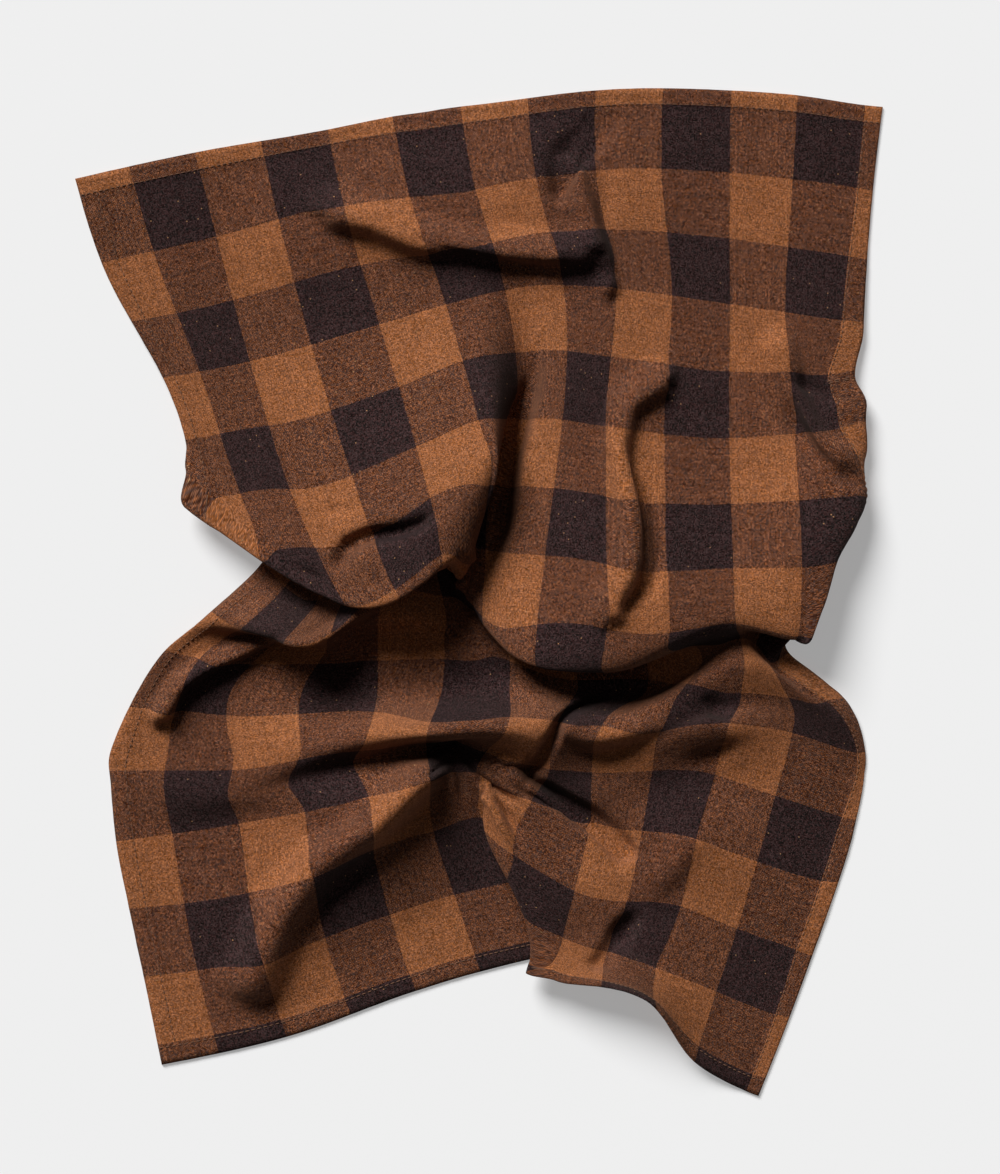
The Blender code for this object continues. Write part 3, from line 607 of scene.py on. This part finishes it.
class Graph:
    """Short names for adding shader nodes."""

    def __init__(self, material):
        self.nodes = material.node_tree.nodes
        self.links = material.node_tree.links

    def put(self, socket, value):
        if hasattr(value, "is_output"):
            self.links.new(value, socket)
        elif isinstance(value, (tuple, list)) and len(value) != len(socket.default_value):
            socket.default_value = tuple(value) + (1.0,)
        else:
            socket.default_value = value

    def math(self, operation, first, second=0.0, third=0.0):
        node = self.nodes.new("ShaderNodeMath")
        node.operation = operation
        for socket, value in zip(node.inputs, (first, second, third)):
            self.put(socket, value)
        return node.outputs[0]

    def mix(self, factor, first, second, blend="MIX"):
        node = self.nodes.new("ShaderNodeMix")
        node.data_type = "RGBA"
        node.blend_type = blend
        for key, value in ((0, factor), (6, first), (7, second)):
            self.put(node.inputs[key], value)
        return node.outputs[2]

    def between(self, factor, first, second):
        """The number first where the factor is 0, second where it is 1."""
        return self.math("MULTIPLY_ADD", factor, second - first, first)

    def shade(self, colour, value, limits, shades):
        """The colour made darker or lighter as the value goes from one limit to the other."""
        return self.mix(1.0, colour, self.span(value, *limits, *shades), "MULTIPLY")

    def vector(self, x, y, z=0.0):
        node = self.nodes.new("ShaderNodeCombineXYZ")
        for socket, value in zip(node.inputs, (x, y, z)):
            self.put(socket, value)
        return node.outputs[0]

    def noise(self, vector, scale, detail=2.0):
        """Soft noise, mostly 0.3 to 0.7, with so many bumps to one unit of the vector."""
        node = self.nodes.new("ShaderNodeTexNoise")
        self.put(node.inputs["Vector"], vector)
        node.inputs["Scale"].default_value = scale
        node.inputs["Detail"].default_value = detail
        return node.outputs[0]

    def scatter(self, vector):
        """An even random number, 0 to 1, for each cell of the vector."""
        node = self.nodes.new("ShaderNodeTexWhiteNoise")
        node.noise_dimensions = "3D"
        self.put(node.inputs["Vector"], vector)
        return node.outputs[0]

    def span(self, value, low, high, to_low, to_high):
        node = self.nodes.new("ShaderNodeMapRange")
        for socket, number in zip(node.inputs, (value, low, high, to_low, to_high)):
            self.put(socket, number)
        return node.outputs[0]


def is_dark(g, distance, check, first):
    """1 on a dark stripe, 0 on a camel one; distance is in metres from the hem."""
    stripe = g.math("FLOOR", g.math("ADD", g.math("DIVIDE", distance, check * MM), 1.0 - first))
    return g.math("MODULO", stripe, 2.0)


def woven_check():
    """Plain weave of two colours: each thread keeps its own shade, each crossing shows the upper one."""
    material = bpy.data.materials.new("checked_cloth")
    material.use_nodes = True
    g = Graph(material)
    shader = g.nodes["Principled BSDF"]
    place = g.nodes.new("ShaderNodeUVMap")
    place.uv_map = "flat_cloth"
    flat = place.outputs[0]
    split = g.nodes.new("ShaderNodeSeparateXYZ")
    g.put(split.inputs[0], flat)
    crosswise = g.vector(split.outputs[1], split.outputs[0], SWAY_SEED)
    wander = g.math("SUBTRACT", g.noise(flat, WANDER_SCALE, detail=3.0), 0.5)
    sway = g.math("SUBTRACT", g.noise(crosswise, WANDER_SCALE, detail=3.0), 0.5)
    from_top = g.math("SUBTRACT", FLAT_LENGTH * MM, split.outputs[1])
    u = g.math("ADD", split.outputs[0], g.math("MULTIPLY", wander, YARN_WANDER * MM))
    v = g.math("ADD", from_top, g.math("MULTIPLY", sway, YARN_WANDER * MM))

    warp = g.math("DIVIDE", u, THREAD * MM)
    weft = g.math("DIVIDE", v, THREAD * MM)
    warp_number, weft_number = g.math("FLOOR", warp), g.math("FLOOR", weft)
    # Uneven yarns here and there show through where the other set should be on top.
    slip = g.scatter(g.vector(warp_number, weft_number, SLIP_SEED))
    slipped = g.math("GREATER_THAN", slip, 1.0 - SLIPPED_SHARE)
    warp_over = g.math("MODULO", g.math("ADD", g.math("ADD", warp_number, weft_number), slipped), 2.0)
    warp_dark = is_dark(g, g.math("MULTIPLY", warp_number, THREAD * MM), CHECK_ACROSS, FIRST_ACROSS)
    weft_dark = is_dark(g, g.math("MULTIPLY", weft_number, THREAD * MM), CHECK_DOWN, FIRST_DOWN)

    # Each yarn is a little lighter or darker than the next, and along itself.
    warp_run = g.vector(g.math("MULTIPLY", warp_number, YARN_STEP), g.math("MULTIPLY", v, YARN_SCALE))
    weft_run = g.vector(g.math("MULTIPLY", weft_number, YARN_STEP), g.math("MULTIPLY", u, YARN_SCALE),
                        WEFT_SHADE_SEED)
    warp_own = g.math("MULTIPLY", g.scatter(g.vector(warp_number, WARP_SEED)), YARN_SPREAD)
    weft_own = g.math("MULTIPLY", g.scatter(g.vector(weft_number, WEFT_SEED)), YARN_SPREAD)
    warp_shade = g.math("ADD", g.noise(warp_run, 1.0), warp_own)
    weft_shade = g.math("ADD", g.noise(weft_run, 1.0), weft_own)
    warp_yarn = g.shade(g.mix(warp_dark, CAMEL_WARP, DARK_WARP), warp_shade, YARN_RANGE, YARN_SHADES)
    weft_yarn = g.shade(g.mix(weft_dark, CAMEL_WEFT, DARK_WEFT), weft_shade, YARN_RANGE, YARN_SHADES)
    yarn = g.mix(warp_over, weft_yarn, warp_yarn)

    # Fibres and crossings that catch more or less light.
    crossing = g.scatter(g.vector(warp_number, weft_number, CROSSING_SEED))
    both_dark = g.math("MULTIPLY", warp_dark, weft_dark)
    least, most = (g.between(both_dark, usual, dark)
                   for usual, dark in zip(CROSSING_SHADES, DARK_CROSSING_SHADES))
    yarn = g.shade(yarn, crossing, (0.0, 1.0), (least, most))
    yarn = g.shade(yarn, g.noise(flat, CLOUD_SCALE, detail=3.0), NOISE_RANGE, CLOUD_SHADES)

    # A crossing of the two colours is mostly in the shade of the darker yarn, and its fibres mingle.
    mixed = g.math("ABSOLUTE", g.math("SUBTRACT", warp_dark, weft_dark))
    even = g.mix(1.0, g.mix(0.5, warp_yarn, weft_yarn), EVEN_TINT, "MULTIPLY")
    mingled = g.mix(MINGLING, g.mix(1.0, yarn, MINGLED_TINT, "MULTIPLY"), even)
    yarn = g.mix(mixed, yarn, mingled)

    # Loose fibres over the crossings, as grey as the light on them.
    fibre = g.math("SUBTRACT", g.scatter(g.vector(warp_number, weft_number, FIBRE_SEED)), 0.5)
    fibre = g.math("MULTIPLY", fibre, g.between(both_dark, FIBRE_DEPTH, DARK_FIBRE_DEPTH))
    yarn = g.mix(1.0, yarn, g.vector(fibre, fibre, fibre), "ADD")
    yarn = g.mix(1.0, yarn, BLACK_POINT, "LIGHTEN")

    # Where the cloth turns steeply its yarns crowd together into one even colour.
    surface = g.nodes.new("ShaderNodeNewGeometry")
    direction = g.nodes.new("ShaderNodeSeparateXYZ")
    g.put(direction.inputs[0], surface.outputs["Normal"])
    flatness = g.math("ABSOLUTE", direction.outputs[2])
    yarn = g.mix(g.span(flatness, *STEEP, 1.0, 0.0), yarn, even)

    # Slubs and stray pale fibres.
    yarn = g.shade(yarn, g.noise(flat, GRAIN_SCALE), NOISE_RANGE, GRAIN_SHADES)
    fleck = g.scatter(g.vector(warp_number, weft_number, FLECK_SEED))
    yarn = g.mix(g.math("GREATER_THAN", fleck, 1.0 - FLECK_SHARE), yarn, FLECK)

    # Round yarns, each dipping under the next. The colour gets painted shade in the dips and a painted
    # highlight on the tops.
    over_u = g.math("SINE", g.math("MULTIPLY", g.math("FRACT", warp), np.pi))
    over_v = g.math("SINE", g.math("MULTIPLY", g.math("FRACT", weft), np.pi))
    warp_height = g.math("MULTIPLY", over_u, g.between(over_v, 1.0 - ARCH, 1.0))
    weft_height = g.math("MULTIPLY", over_v, g.between(over_u, 1.0 - ARCH, 1.0))
    height = g.math("ADD", g.math("MULTIPLY", warp_height, warp_over),
                    g.math("MULTIPLY", weft_height, g.math("SUBTRACT", 1.0, warp_over)))
    height = g.math("ADD", height, g.math("MULTIPLY", crossing, CROSSING_LIFT))
    height = g.math("ADD", height, g.math("MULTIPLY", g.noise(flat, FUZZ_SCALE), FUZZ_LIFT))
    bump = g.nodes.new("ShaderNodeBump")
    bump.inputs["Strength"].default_value = BUMP_STRENGTH
    bump.inputs["Distance"].default_value = BUMP_DEPTH * MM
    g.put(bump.inputs["Height"], height)
    g.put(shader.inputs["Normal"], bump.outputs[0])
    # painted shade and painted highlight: the colour darker where the weave is low, lighter where it is high
    g.put(shader.inputs["Base Color"], g.shade(yarn, height, WEAVE_HEIGHTS, WEAVE_PAINTED_SHADE))
    g.put(shader.inputs["Roughness"], g.span(height, *WEAVE_HEIGHTS, *WEAVE_ROUGHNESS))
    shader.inputs["Specular IOR Level"].default_value = CLOTH_GLOSS
    shader.inputs["Sheen Weight"].default_value = SHEEN
    shader.inputs["Sheen Roughness"].default_value = SHEEN_ROUGHNESS
    shader.inputs["Sheen Tint"].default_value = SHEEN_TINT
    return material


def plain(name, colour, roughness):
    material = bpy.data.materials.new(name)
    material.use_nodes = True
    shader = material.node_tree.nodes["Principled BSDF"]
    shader.inputs["Base Color"].default_value = colour + (1.0,)
    shader.inputs["Roughness"].default_value = roughness
    return material


def make_floor():
    far = FLOOR_REACH
    points = [(-far, -far, 0), (far, -far, 0), (far, far, 0), (-far, far, 0)]
    paper = plain("pale_floor", FLOOR_COLOUR, FLOOR_ROUGHNESS)
    shader = paper.node_tree.nodes["Principled BSDF"]
    # Painted light: the floor glows evenly, which lightens the shadows on it.
    shader.inputs["Emission Color"].default_value = WHITE
    shader.inputs["Emission Strength"].default_value = FLOOR_GLOW
    floor = mesh_object("floor", points, [(0, 1, 2, 3)], paper)
    floor.location.z = -FLOOR_DROP * MM
    return floor


def make_light():
    """A large soft window above the picture, a little to its left, and an even room."""
    world = bpy.data.worlds.new("soft room")
    world.use_nodes = True
    background = world.node_tree.nodes["Background"]
    background.inputs["Color"].default_value = WHITE
    background.inputs["Strength"].default_value = ROOM_LIGHT
    bpy.context.scene.world = world
    bpy.context.scene.view_settings.view_transform = "Standard"
    lamp = bpy.data.lights.new("window", "SUN")
    lamp.energy = WINDOW_LIGHT
    lamp.angle = WINDOW_SPREAD
    window = bpy.data.objects.new("window", lamp)
    window.rotation_euler = Vector(WINDOW_FROM).to_track_quat("Z", "Y").to_euler()
    bpy.context.scene.collection.objects.link(window)


def make_camera():
    """Straight above the table, as in the photo."""
    lens = bpy.data.cameras.new("camera")
    lens.sensor_width = SENSOR_SIZE
    lens.lens = SENSOR_SIZE * CAMERA_HEIGHT / PICTURE_HEIGHT
    camera = bpy.data.objects.new("camera", lens)
    camera.location = (*CAMERA_OVER, CAMERA_HEIGHT)
    bpy.context.scene.collection.objects.link(camera)
    bpy.context.scene.camera = camera


def main():
    u, v, place = drape()
    place = creased(u, v, place) - middle_of(place)
    cloth, top = make_cloth(u, v, place, woven_check())
    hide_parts("towel")
    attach(cloth, "root")
    stitches = make_stitches(u, v, top, plain("sewing_thread", SEWING_THREAD, THREAD_ROUGHNESS))
    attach(stitches, "root")
    floor = make_floor()
    make_light()
    make_camera()


main()
